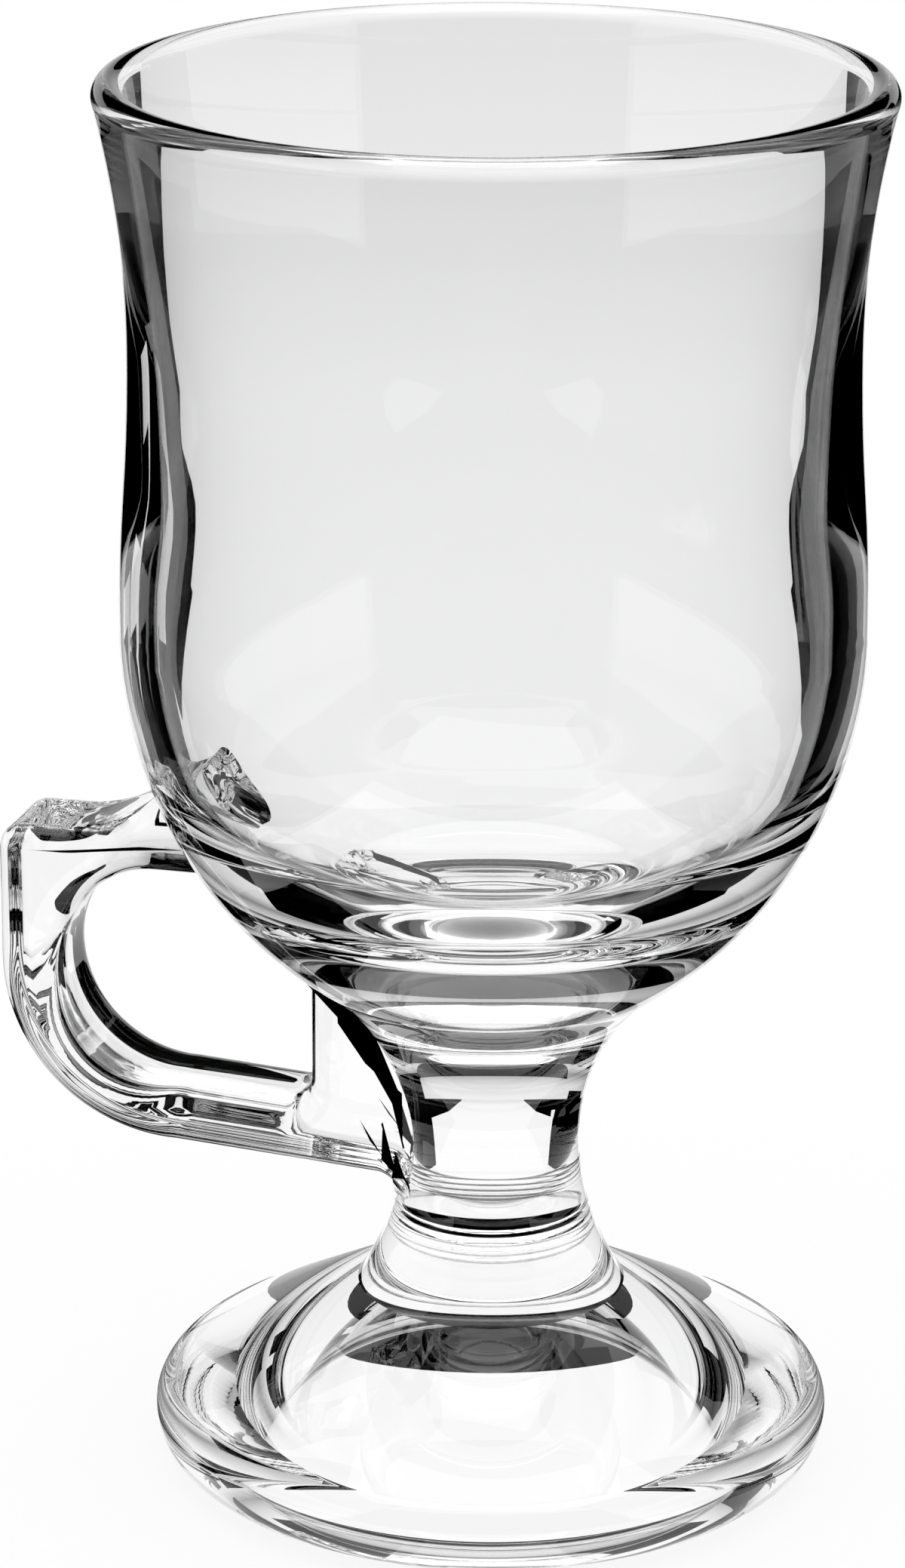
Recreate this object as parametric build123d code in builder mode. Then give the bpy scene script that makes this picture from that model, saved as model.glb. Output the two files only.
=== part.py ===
"""Irish coffee mug in clear pressed glass: a footed bowl on a short stem, with a solid thumb-rest handle.

The frame stands on the mug's axis at the surface it rests on, with Z up and the handle towards -X.
Lengths are millimetres. Each glass piece is its own solid, and the pieces meet face to face where they
were fused hot: the bowl on the stem, the stem on the foot, and the handle against the bowl and the stem.
"""

import os
from math import asin, cos, hypot, sin, sqrt

from build123d import *

# Foot: a cone-topped disc with a rounded edge, a resting ring and a domed hollow under it.
foot_height = 18.0
foot_diameter = 67.5
foot_edge_height = 4.9
foot_edge_radius = 3.6
rest_ring_width = 6.0
foot_hollow_depth = 11.5

# Stem: a waisted spool between the foot and the bowl.
stem_height = 33.0
stem_neck_diameter = 17.5
stem_neck_rise = 15.5
stem_top_flare = 9.5
stem_foot_flare = 4.6

# Bowl outside: lower bowl, belly, waist and flared lip.
bowl_height = 89.0
waist_diameter = 70.1
waist_drop = 25.5
belly_rise = 35.0
belly_swell = 1.1
rim_flare = 2.95
lip_thickness = 3.2

# Bowl inside: an even wall that follows the belly, and a rounded corner to the floor over the heavy base.
bowl_base_thickness = 10.0
wall_thickness = 3.35
cavity_waist_drop = 38.0
cavity_belly_swell = 0.35
cavity_corner_radius = 19.5

# Handle: a strap of glass from the bowl out to a thumb rest, round a finger loop and back to the stem.
# The edge shares are the rounding of its outer and inner edges, as parts of the strap's thickness.
handle_width = 11.8
handle_projection = 13.35
strap_thickness = 6.2
thumb_rest_rise = 12.2
thumb_rest_length = 6.5
thumb_scoop_run = 12.0
thumb_scoop_rise = 6.8
thumb_corner_radius = 2.6
bar_underside_rise = 8.2
loop_top_run = 9.4
loop_turn_radius = 11.8
arm_rise = 13.2
arm_fall = 1.4
web_reach = 8.9
web_corner_radius = 2.4
arm_root_fillet = 2.0
outer_edge_share = 0.34
inner_edge_share = 0.52

# Heights of the fused faces and of the rim.
stem_foot_z = foot_height
bowl_stem_z = foot_height + stem_height
rim_z = bowl_stem_z + bowl_height

# Radii that the pieces share.
neck_radius = stem_neck_diameter / 2
bowl_stem_radius = neck_radius + stem_top_flare
stem_foot_radius = neck_radius + stem_foot_flare
waist_radius = waist_diameter / 2
belly_radius = waist_radius + belly_swell
rim_radius = waist_radius + rim_flare
lip_radius = lip_thickness / 2
DOWN = (0, -1)
UP = (0, 1)

# Lip circle, and the neck arc that runs from the waist up to touch it.
lip_x = rim_radius - lip_radius
lip_z = rim_z - lip_radius
waist_z = rim_z - waist_drop
neck_rise = lip_z - waist_z
neck_inset = lip_x - waist_radius
neck_arc_radius = (neck_inset**2 + neck_rise**2 - lip_radius**2) / (2 * (lip_radius + neck_inset))
neck_reach = neck_arc_radius + lip_radius
lip_outer = (
    lip_x + lip_radius * (waist_radius + neck_arc_radius - lip_x) / neck_reach,
    lip_z - lip_radius * neck_rise / neck_reach,
)
lip_top = (lip_x, rim_z)
waist = (waist_radius, waist_z)
belly = (belly_radius, bowl_stem_z + belly_rise)
ogee = ((waist[0] + belly[0]) / 2, (waist[1] + belly[1]) / 2)

# Bowl outside, still solid from the stem face to the rim.
with BuildPart() as bowl_blank:
    with BuildSketch(Plane.XZ):
        with BuildLine():
            Polyline((lip_x, rim_z), (0, rim_z), (0, bowl_stem_z), (bowl_stem_radius, bowl_stem_z))
            TangentArc(belly, (bowl_stem_radius, bowl_stem_z), tangent=DOWN)
            TangentArc(belly, ogee, tangent=UP)
            TangentArc(waist, ogee, tangent=DOWN)
            TangentArc(waist, lip_outer, tangent=UP)
            RadiusArc(lip_outer, lip_top, -lip_radius)
        make_face()
    revolve(axis=Axis.Z)

# Hollow's upper outline: from its belly in to its waist, and a flare from there up to touch the lip circle.
cavity_belly = (belly_radius - wall_thickness, belly[1])
cavity_waist = (cavity_belly[0] - cavity_belly_swell, rim_z - cavity_waist_drop)
cavity_ogee = ((cavity_waist[0] + cavity_belly[0]) / 2, (cavity_waist[1] + cavity_belly[1]) / 2)
flare_rise = lip_z - cavity_waist[1]
flare_inset = lip_x - cavity_waist[0]
flare_radius = (flare_inset**2 + flare_rise**2 - lip_radius**2) / (2 * (flare_inset - lip_radius))
flare_reach = flare_radius - lip_radius
lip_inner = (
    lip_x - lip_radius * (flare_radius - flare_inset) / flare_reach,
    lip_z + lip_radius * flare_rise / flare_reach,
)

# Hollow's lower outline: an arc about the lower bowl's own centre, and a corner that touches it and the floor.
lower_run = belly_radius - bowl_stem_radius
lower_radius = (lower_run**2 + belly_rise**2) / (2 * lower_run)
lower_centre_x = belly_radius - lower_radius
floor_z = bowl_stem_z + bowl_base_thickness
corner_z = floor_z + cavity_corner_radius
corner_reach = lower_radius - wall_thickness - cavity_corner_radius
corner_drop = belly[1] - corner_z
corner_run = sqrt(corner_reach**2 - corner_drop**2)
corner_x = lower_centre_x + corner_run
corner_start = (
    corner_x + cavity_corner_radius * corner_run / corner_reach,
    corner_z - cavity_corner_radius * corner_drop / corner_reach,
)

with BuildPart() as bowl:
    add(bowl_blank.part)
    with BuildSketch(Plane.XZ):
        with BuildLine():
            RadiusArc(lip_inner, lip_top, lip_radius)
            TangentArc(cavity_waist, lip_inner, tangent=UP)
            TangentArc(cavity_waist, cavity_ogee, tangent=DOWN)
            TangentArc(cavity_belly, cavity_ogee, tangent=UP)
            TangentArc(cavity_belly, corner_start, tangent=DOWN)
            RadiusArc(corner_start, (corner_x, floor_z), cavity_corner_radius)
            Polyline((corner_x, floor_z), (0, floor_z), (0, rim_z), lip_top)
        make_face()
    revolve(axis=Axis.Z, mode=Mode.SUBTRACT)

# Stem: two hollow curves that meet, upright, at the neck.
neck = (neck_radius, stem_foot_z + stem_neck_rise)

with BuildPart() as stem:
    with BuildSketch(Plane.XZ):
        with BuildLine():
            TangentArc(neck, (bowl_stem_radius, bowl_stem_z), tangent=UP)
            TangentArc(neck, (stem_foot_radius, stem_foot_z), tangent=DOWN)
            Polyline(
                (stem_foot_radius, stem_foot_z),
                (0, stem_foot_z),
                (0, bowl_stem_z),
                (bowl_stem_radius, bowl_stem_z),
            )
        make_face()
    revolve(axis=Axis.Z)

# Foot: the cone runs from the stem to touch the rounded edge.
foot_radius = foot_diameter / 2
edge_x = foot_radius - foot_edge_radius
cone_run = edge_x - stem_foot_radius
cone_drop = stem_foot_z - foot_edge_height
cone_length = hypot(cone_run, cone_drop)
cone_slope = asin(cone_drop / cone_length) - asin(foot_edge_radius / cone_length)
cone_end = (edge_x + foot_edge_radius * sin(cone_slope), foot_edge_height + foot_edge_radius * cos(cone_slope))
rest_outer = foot_radius - foot_edge_height
rest_inner = rest_outer - rest_ring_width

with BuildPart() as foot:
    with BuildSketch(Plane.XZ):
        with BuildLine():
            Polyline((0, foot_hollow_depth), (0, stem_foot_z), (stem_foot_radius, stem_foot_z), cone_end)
            RadiusArc(cone_end, (foot_radius, foot_edge_height), foot_edge_radius)
            RadiusArc((foot_radius, foot_edge_height), (rest_outer, 0), foot_edge_height)
            Line((rest_outer, 0), (rest_inner, 0))
            TangentArc((0, foot_hollow_depth), (rest_inner, 0), tangent=(1, 0))
        make_face()
    revolve(axis=Axis.Z)

# Handle outline, written as distances from the axis and heights, and drawn on the -X side.
handle_reach = belly_radius + handle_projection
loop_reach = handle_reach - strap_thickness
rest_z = bowl_stem_z + thumb_rest_rise
bar_under_z = bowl_stem_z + bar_underside_rise
arm_under_z = stem_foot_z + arm_rise
arm_floor_z = arm_under_z + strap_thickness
outer_edge = outer_edge_share * strap_thickness
inner_edge = inner_edge_share * strap_thickness
turn_radius = loop_turn_radius + strap_thickness
turn_x = handle_reach - turn_radius
turn_z = arm_under_z + turn_radius
scoop_x = handle_reach - thumb_rest_length
scoop_z = rest_z + thumb_scoop_rise
arm_root_x = neck_radius + arm_root_fillet
arm_root_z = arm_under_z - arm_fall
arm_slope = arm_fall / (turn_x - arm_root_x)
web_x = neck_radius + web_reach
web_floor_x = web_x + web_corner_radius
web_floor_z = arm_floor_z - arm_slope * (turn_x - web_floor_x)


def at(distance, height):
    """Point on the handle's upright middle plane, at a distance from the mug's axis."""
    return (-distance, height)


def on_side_face(edge):
    """True for an edge that lies in one of the handle's two flat side faces."""
    box = edge.bounding_box()
    return box.size.Y < handle_width / 4 and abs(box.center().Y) > handle_width / 4


with BuildPart() as handle:
    # Slab with the thumb rest, outer turn and lower arm, running on into the bowl and the stem.
    with BuildSketch(Plane.XZ):
        with BuildLine():
            TangentArc(at(scoop_x, rest_z), at(scoop_x - thumb_scoop_run, scoop_z), tangent=(1, 0))
            Line(at(scoop_x, rest_z), at(handle_reach - thumb_corner_radius, rest_z))
            TangentArc(
                at(handle_reach - thumb_corner_radius, rest_z),
                at(handle_reach, rest_z - thumb_corner_radius),
                tangent=(-1, 0),
            )
            Line(at(handle_reach, rest_z - thumb_corner_radius), at(handle_reach, turn_z))
            TangentArc(at(handle_reach, turn_z), at(turn_x, arm_under_z), tangent=DOWN)
            Line(at(turn_x, arm_under_z), at(arm_root_x, arm_root_z))
            TangentArc(at(arm_root_x, arm_root_z), at(neck_radius, arm_root_z - arm_root_fillet), tangent=(1, 0))
            Polyline(
                at(neck_radius, arm_root_z - arm_root_fillet),
                at(0, arm_root_z - arm_root_fillet),
                at(0, scoop_z),
                at(scoop_x - thumb_scoop_run, scoop_z),
            )
        make_face()
    extrude(amount=handle_width / 2, both=True)
    fillet(handle.edges().filter_by(on_side_face), outer_edge)
    # Finger loop, up to the underside of the bowl.
    with BuildSketch(Plane.XZ):
        with BuildLine():
            Line(at(web_x, bar_under_z), at(web_x, web_floor_z + web_corner_radius))
            TangentArc(
                at(web_x, web_floor_z + web_corner_radius), at(web_floor_x, web_floor_z), tangent=DOWN
            )
            Line(at(web_floor_x, web_floor_z), at(turn_x, arm_floor_z))
            TangentArc(at(turn_x, arm_floor_z), at(loop_reach, turn_z), tangent=(-1, 0))
            TangentArc(at(loop_reach, turn_z), at(loop_reach - loop_top_run, bar_under_z), tangent=UP)
            Line(at(loop_reach - loop_top_run, bar_under_z), at(web_x, bar_under_z))
        make_face()
    extrude(amount=handle_width, both=True, mode=Mode.SUBTRACT)
    fillet(handle.edges(Select.LAST).filter_by(on_side_face), inner_edge)
    # The ends seat on the bowl and the stem.
    add(bowl_blank.part, mode=Mode.SUBTRACT)
    add(stem.part, mode=Mode.SUBTRACT)

pieces = {"bowl": bowl, "stem": stem, "foot": foot, "handle": handle}
os.makedirs("parts", exist_ok=True)
for name, piece in pieces.items():
    piece.part.label = name
    export_step(piece.part, f"parts/{name}.step")
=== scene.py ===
"""Irish coffee mug in clear pressed glass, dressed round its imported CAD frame.

The frame stands on the mug's axis at the surface it rests on, with Z up and the handle towards -X.
Lengths are metres. The bowl, stem and foot are turned pieces, the handle is a strap with rounded edges,
and the four meet in fused joints, where light passes from one piece of glass straight into the next.
"""

import logging
import math
from dataclasses import dataclass
from enum import Enum
from typing import ClassVar

import bmesh
import bpy
import numpy as np
from mathutils import Matrix, Vector


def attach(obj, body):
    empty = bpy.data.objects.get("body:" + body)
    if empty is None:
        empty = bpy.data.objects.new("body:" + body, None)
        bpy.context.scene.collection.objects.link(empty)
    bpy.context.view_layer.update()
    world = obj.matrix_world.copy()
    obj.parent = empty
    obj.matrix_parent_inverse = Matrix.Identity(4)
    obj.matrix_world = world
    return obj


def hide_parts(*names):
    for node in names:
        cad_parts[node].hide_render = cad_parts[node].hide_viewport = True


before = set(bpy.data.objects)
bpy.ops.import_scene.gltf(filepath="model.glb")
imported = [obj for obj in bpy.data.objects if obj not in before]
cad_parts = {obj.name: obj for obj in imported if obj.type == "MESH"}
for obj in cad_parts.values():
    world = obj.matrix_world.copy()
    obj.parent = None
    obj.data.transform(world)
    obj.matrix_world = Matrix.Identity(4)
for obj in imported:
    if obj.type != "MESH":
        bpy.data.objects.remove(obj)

LOG = logging.getLogger("irish_coffee_mug")
MM = 0.001

# Directions in the half plane of an outline
UP, DOWN, OUT, IN = (0.0, 1.0), (0.0, -1.0), (1.0, 0.0), (-1.0, 0.0)

# A stretch that turns by less is a line, and an edge that turns by more is sharp
STRAIGHT = 1e-6
SHARP_EDGE = math.radians(38.0)

# A face lies flat when the Z share of its normal is over this
FLAT_SHARE = 0.999

WHITE, BLACK = (1.0, 1.0, 1.0, 1.0), (0.0, 0.0, 0.0, 1.0)

Point2 = tuple[float, float]
Point3 = tuple[float, float, float]
Colour = tuple[float, float, float, float]


class Piece(Enum):
    """The mug's pieces, by their CAD node names."""

    BOWL = "bowl"
    STEM = "stem"
    FOOT = "foot"
    HANDLE = "handle"

    @property
    def slot(self) -> str:
        """The material slot for this piece."""
        return f"{self.value}_glass"

    @property
    def skin(self) -> str:
        """Name of the object that stands for this piece."""
        return f"{self.value}_skin"


def put(name: str, data: bpy.types.ID | None) -> bpy.types.Object:
    """Puts a new object into the scene.

    Args:
        name: Its name.
        data: Its mesh, light or camera, or None for an empty.

    Returns:
        The object.
    """
    obj = bpy.data.objects.new(name, data)
    bpy.context.scene.collection.objects.link(obj)
    return obj


# Outlines


@dataclass(frozen=True)
class Stretch:
    """One line or arc of an outline in the half plane of distances from the axis and heights.

    Attributes:
        start: First point.
        end: Last point.
        heading: Direction in which an arc leaves the first point, or None for a line.
    """

    start: Point2
    end: Point2
    heading: Point2 | None = None

    @classmethod
    def arriving(cls, start: Point2, end: Point2, heading: Point2) -> "Stretch":
        """Makes the arc that reaches its last point along a direction.

        Args:
            start: First point.
            end: Last point.
            heading: Direction at the last point.

        Returns:
            The arc.
        """
        chord = np.subtract(end, start)
        along = chord / np.linalg.norm(chord)
        mirrored = 2.0 * np.dot(heading, along) * along - np.asarray(heading)
        return cls(start, end, (float(mirrored[0]), float(mirrored[1])))

    @property
    def turn(self) -> float:
        """Angle that the stretch turns through.

        Returns:
            The angle in radians, anticlockwise positive.
        """
        if self.heading is None:
            return 0.0
        chord = np.subtract(self.end, self.start)
        across = self.heading[0] * chord[1] - self.heading[1] * chord[0]
        along = self.heading[0] * chord[0] + self.heading[1] * chord[1]
        return 2.0 * math.atan2(across, along)

    def sample(self, shares: np.ndarray) -> tuple[np.ndarray, np.ndarray]:
        """Finds points and directions along the stretch.

        Args:
            shares: Places along the stretch, from 0 to 1.

        Returns:
            The points and the unit directions of travel, one row each.
        """
        start, chord = np.asarray(self.start), np.subtract(self.end, self.start)
        if abs(self.turn) < STRAIGHT:
            points = start + shares[:, None] * chord
            return points, np.tile(chord / np.linalg.norm(chord), (len(shares), 1))
        heading = np.asarray(self.heading) / np.linalg.norm(self.heading)
        left = np.array([-heading[1], heading[0]])
        radius = np.linalg.norm(chord) / (2.0 * math.sin(self.turn / 2.0))
        angles = shares[:, None] * self.turn
        points = start + radius * (np.sin(angles) * heading + (1.0 - np.cos(angles)) * left)
        return points, np.cos(angles) * heading + np.sin(angles) * left

    def part(self, first: float, last: float) -> "Stretch":
        """Cuts the piece of this stretch between two shares of it.

        Args:
            first: Share at which the cut starts.
            last: Share at which it ends.

        Returns:
            The shorter stretch.
        """
        points, headings = self.sample(np.array([first, last]))
        heading = None if self.heading is None else tuple(headings[0])
        return Stretch(tuple(points[0]), tuple(points[1]), heading)


def sampled(stretches: list[Stretch], arc_step: float) -> list[Point2]:
    """Joins stretches into one row of points.

    Args:
        stretches: Stretches that follow each other.
        arc_step: Largest turn between neighbouring points of an arc, in radians.

    Returns:
        The points, each once.
    """
    row: list[Point2] = [stretches[0].start]
    for stretch in stretches:
        parts = max(1, math.ceil(abs(stretch.turn) / arc_step))
        points, _ = stretch.sample(np.linspace(0.0, 1.0, parts + 1))
        row.extend(tuple(point) for point in points[1:])
    return row


# Node trees


def new_group(name: str, kind: str, inputs: dict[str, str], outputs: dict[str, str]) -> bpy.types.NodeTree:
    """Makes a node group with its sockets.

    Args:
        name: Name of the group.
        kind: Type of tree.
        inputs: Names of the inputs, with what each carries.
        outputs: Names of the outputs, with what each carries.

    Returns:
        The group, with no nodes yet.
    """
    tree = bpy.data.node_groups.new(name, kind)
    for side, sockets in (("INPUT", inputs), ("OUTPUT", outputs)):
        for socket, carried in sockets.items():
            tree.interface.new_socket(socket, in_out=side, socket_type=f"NodeSocket{carried}")
    return tree


def value_noise(tree: bpy.types.NodeTree, scale: float, detail: float) -> bpy.types.Node:
    """Adds a noise that reads the piece's Object coordinates.

    Args:
        tree: Node tree to add to.
        scale: Noise scale, in waves per metre.
        detail: Number of finer layers.

    Returns:
        The noise node.
    """
    place = tree.nodes.new("ShaderNodeTexCoord")
    noise = tree.nodes.new("ShaderNodeTexNoise")
    noise.inputs["Scale"].default_value = scale
    noise.inputs["Detail"].default_value = detail
    tree.links.new(place.outputs["Object"], noise.inputs["Vector"])
    return noise


# Finishes


class PressedMarks:
    """Shader group with what pressing leaves: slow waves, cords in the melt and dull specks."""

    NAME = "pressed glass marks"

    # Waves per metre of each noise, and its finer layers
    WAVES = (58.0, 1.0)
    CORDS = (19.0, 2.0)
    SPECKS = (900.0, 2.0)

    @classmethod
    def group(cls) -> bpy.types.NodeTree:
        """Makes the group once.

        Returns:
            The group, whose outputs are the glass's tint, its roughness and the height of its waves.
        """
        made = bpy.data.node_groups.get(cls.NAME)
        if made is not None:
            return made
        tree = new_group(
            cls.NAME,
            "ShaderNodeTree",
            {"Clear Tint": "Color", "Cord Tint": "Color", "Polish": "Float", "Specks": "Float"},
            {"Tint": "Color", "Roughness": "Float", "Height": "Float"},
        )
        taken = tree.nodes.new("NodeGroupInput")
        given = tree.nodes.new("NodeGroupOutput")
        waves = value_noise(tree, *cls.WAVES)
        cords = value_noise(tree, *cls.CORDS)
        specks = value_noise(tree, *cls.SPECKS)
        tint = tree.nodes.new("ShaderNodeMix")
        tint.data_type = "RGBA"
        dull = tree.nodes.new("ShaderNodeMath")
        dull.operation = "MULTIPLY_ADD"
        link = tree.links.new
        link(cords.outputs["Fac"], tint.inputs["Factor"])
        link(taken.outputs["Clear Tint"], tint.inputs["A"])
        link(taken.outputs["Cord Tint"], tint.inputs["B"])
        link(specks.outputs["Fac"], dull.inputs[0])
        link(taken.outputs["Specks"], dull.inputs[1])
        link(taken.outputs["Polish"], dull.inputs[2])
        link(tint.outputs["Result"], given.inputs["Tint"])
        link(dull.outputs["Value"], given.inputs["Roughness"])
        link(waves.outputs["Fac"], given.inputs["Height"])
        return tree


@dataclass(frozen=True)
class ClearGlass:
    """Clear fire-polished soda glass.

    Attributes:
        wave_height: Height of the slow waves that pressing leaves, in metres.
        polish: Roughness of the polished skin.
        specks: Roughness that the dullest specks add.
        ior: Refractive index.
        clear_tint: Colour of the clear melt.
        cord_tint: Colour of the cords in the melt.
    """

    wave_height: float
    polish: float = 0.0
    specks: float = 0.004
    ior: float = 1.52
    clear_tint: Colour = WHITE
    cord_tint: Colour = (0.985, 0.989, 0.988, 1.0)

    def material(self, name: str) -> bpy.types.Material:
        """Makes the material.

        Args:
            name: Name of the material.

        Returns:
            The material, with the pressing marks in its tint, roughness and normal.
        """
        glass = bpy.data.materials.new(name)
        glass.use_nodes = True
        tree = glass.node_tree
        skin = tree.nodes["Principled BSDF"]
        skin.inputs["Transmission Weight"].default_value = 1.0
        skin.inputs["IOR"].default_value = self.ior
        marks = tree.nodes.new("ShaderNodeGroup")
        marks.node_tree = PressedMarks.group()
        marks.inputs["Clear Tint"].default_value = self.clear_tint
        marks.inputs["Cord Tint"].default_value = self.cord_tint
        marks.inputs["Polish"].default_value = self.polish
        marks.inputs["Specks"].default_value = self.specks
        bump = tree.nodes.new("ShaderNodeBump")
        bump.inputs["Strength"].default_value = 1.0
        bump.inputs["Distance"].default_value = self.wave_height
        link = tree.links.new
        link(marks.outputs["Tint"], skin.inputs["Base Color"])
        link(marks.outputs["Roughness"], skin.inputs["Roughness"])
        link(marks.outputs["Height"], bump.inputs["Height"])
        link(bump.outputs["Normal"], skin.inputs["Normal"])
        return glass


@dataclass(frozen=True)
class FusedJoint:
    """The face where two pieces were fused hot. It has no surface, so light passes it unturned."""

    name: str = "fused joint"

    def material(self) -> bpy.types.Material:
        """Makes the material once.

        Returns:
            The material, which lets light through unchanged.
        """
        made = bpy.data.materials.get(self.name)
        if made is None:
            made = bpy.data.materials.new(self.name)
            made.use_nodes = True
            made.node_tree.nodes["Principled BSDF"].inputs["Alpha"].default_value = 0.0
        return made


# Turned pieces


class TurningTree:
    """Geometry Nodes tree that turns a row of outline points about the Z axis into a closed skin."""

    NAME = "turned glass"

    # Points nearer than this, in metres, become one
    WELD = 1e-6

    @classmethod
    def tree(cls) -> bpy.types.NodeTree:
        """Makes the tree once.

        Returns:
            The tree, with inputs Outline, Segments and Glass.
        """
        made = bpy.data.node_groups.get(cls.NAME)
        if made is not None:
            return made
        tree = new_group(
            cls.NAME,
            "GeometryNodeTree",
            {"Outline": "Geometry", "Segments": "Int", "Glass": "Material"},
            {"Skin": "Geometry"},
        )
        node, link = tree.nodes.new, tree.links.new
        taken, given = node("NodeGroupInput"), node("NodeGroupOutput")
        count = node("GeometryNodeAttributeDomainSize")
        link(taken.outputs["Outline"], count.inputs["Geometry"])
        columns = cls.number(tree, "ADD", taken.outputs["Segments"], 1.0)
        grid = node("GeometryNodeMeshGrid")
        link(columns, grid.inputs["Vertices X"])
        link(count.outputs["Point Count"], grid.inputs["Vertices Y"])
        index = node("GeometryNodeInputIndex").outputs["Index"]
        row = cls.number(tree, "MODULO", index, count.outputs["Point Count"])
        column = cls.number(tree, "DIVIDE", index, count.outputs["Point Count"])
        column = cls.number(tree, "FLOOR", column, 0.0)
        share = cls.number(tree, "DIVIDE", column, taken.outputs["Segments"])
        angle = cls.number(tree, "MULTIPLY", share, math.tau)
        outline_point = node("GeometryNodeSampleIndex")
        outline_point.data_type = "FLOAT_VECTOR"
        link(taken.outputs["Outline"], outline_point.inputs["Geometry"])
        link(node("GeometryNodeInputPosition").outputs["Position"], outline_point.inputs["Value"])
        link(row, outline_point.inputs["Index"])
        spin = node("ShaderNodeVectorRotate")
        spin.rotation_type = "Z_AXIS"
        link(outline_point.outputs["Value"], spin.inputs["Vector"])
        link(angle, spin.inputs["Angle"])
        place = node("GeometryNodeSetPosition")
        link(grid.outputs["Mesh"], place.inputs["Geometry"])
        link(spin.outputs["Vector"], place.inputs["Position"])
        weld = node("GeometryNodeMergeByDistance")
        weld.inputs["Distance"].default_value = cls.WELD
        smooth = node("GeometryNodeSetShadeSmooth")
        real = node("GeometryNodeRealizeInstances")
        dressed = node("GeometryNodeSetMaterial")
        chain = (place, weld, smooth, real, dressed)
        for before, after in zip(chain, chain[1:]):
            link(before.outputs["Geometry"], after.inputs["Geometry"])
        link(taken.outputs["Glass"], dressed.inputs["Material"])
        link(dressed.outputs["Geometry"], given.inputs["Skin"])
        return tree

    @staticmethod
    def number(
        tree: bpy.types.NodeTree,
        operation: str,
        first: bpy.types.NodeSocket,
        second: bpy.types.NodeSocket | float,
    ) -> bpy.types.NodeSocket:
        """Adds one calculation to the tree.

        Args:
            tree: Tree to add to.
            operation: Math node operation.
            first: Socket of the first number.
            second: Socket or value of the second number.

        Returns:
            The socket with the result.
        """
        maths = tree.nodes.new("ShaderNodeMath")
        maths.operation = operation
        tree.links.new(first, maths.inputs[0])
        if isinstance(second, bpy.types.NodeSocket):
            tree.links.new(second, maths.inputs[1])
        else:
            maths.inputs[1].default_value = second
        return maths.outputs["Value"]


def settle(obj: bpy.types.Object, piece: Piece) -> None:
    """Hands a finished piece to the frame in place of its CAD node.

    Args:
        obj: The finished object.
        piece: The piece that it is.
    """
    obj.data.set_sharp_from_angle(angle=SHARP_EDGE)
    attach(obj, "root")
    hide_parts(piece.value)
    LOG.info("%s: %d faces", obj.name, len(obj.data.polygons))


@dataclass
class TurnedPiece:
    """A piece of glass turned about the mug's axis.

    Attributes:
        finish: Its glass.
        segments: Facets round the axis.
        arc_step: Largest turn between outline points, in radians.
    """

    finish: ClearGlass
    segments: int = 256
    arc_step: float = math.radians(1.0)

    piece: ClassVar[Piece]

    # How much finer than the skin the wall is read where the handle seats on it
    SEAT_FINENESS = 4.0

    def wall(self) -> list[Stretch]:
        """The outer wall, from the bottom up."""
        raise NotImplementedError

    def outline(self) -> list[Stretch]:
        """The whole half section, from the axis round the outside and back to the axis."""
        raise NotImplementedError

    def joints(self) -> list[float]:
        """Heights of the flat fused joints."""
        raise NotImplementedError

    def radius_at(self, heights: np.ndarray) -> np.ndarray:
        """Finds the outer wall's radius.

        Args:
            heights: Heights on the wall.

        Returns:
            The radius at each height.
        """
        wall = np.array(sampled(self.wall(), self.arc_step / self.SEAT_FINENESS))
        return np.interp(heights, wall[:, 1], wall[:, 0])

    def build(self) -> bpy.types.Object:
        """Turns the outline into the piece's skin.

        Returns:
            The object, with the fused joints marked on its second material.
        """
        row = [(r, 0.0, z) for r, z in sampled(self.outline(), self.arc_step)]
        mesh = bpy.data.meshes.new(self.piece.value)
        mesh.from_pydata(row, [(i, i + 1) for i in range(len(row) - 1)], [])
        obj = put(self.piece.skin, mesh)
        turning = obj.modifiers.new("turning", "NODES")
        turning.node_group = TurningTree.tree()
        sockets = {item.name: item.identifier for item in turning.node_group.interface.items_tree}
        glass = self.finish.material(self.piece.slot)
        turning[sockets["Segments"]] = self.segments
        turning[sockets["Glass"]] = glass
        seen = obj.evaluated_get(bpy.context.evaluated_depsgraph_get())
        skin = bpy.data.meshes.new_from_object(seen)
        obj.modifiers.remove(turning)
        obj.data = skin
        bpy.data.meshes.remove(mesh)
        skin.name = self.piece.skin
        skin.materials.clear()
        skin.materials.append(glass)
        skin.materials.append(FusedJoint().material())
        for face in skin.polygons:
            flat = abs(face.normal.z) > FLAT_SHARE
            joined = any(abs(face.center.z - height) < TurningTree.WELD for height in self.joints())
            face.material_index = int(flat and joined)
        return obj

    def dress(self, obj: bpy.types.Object, handle: "Handle | None" = None) -> None:
        """Marks where the handle is fused on, and hands the piece over.

        Args:
            obj: The built object.
            handle: The handle, where it is fused to this piece.
        """
        if handle is not None:
            handle.mark_seat(obj.data)
        settle(obj, self.piece)


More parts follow.
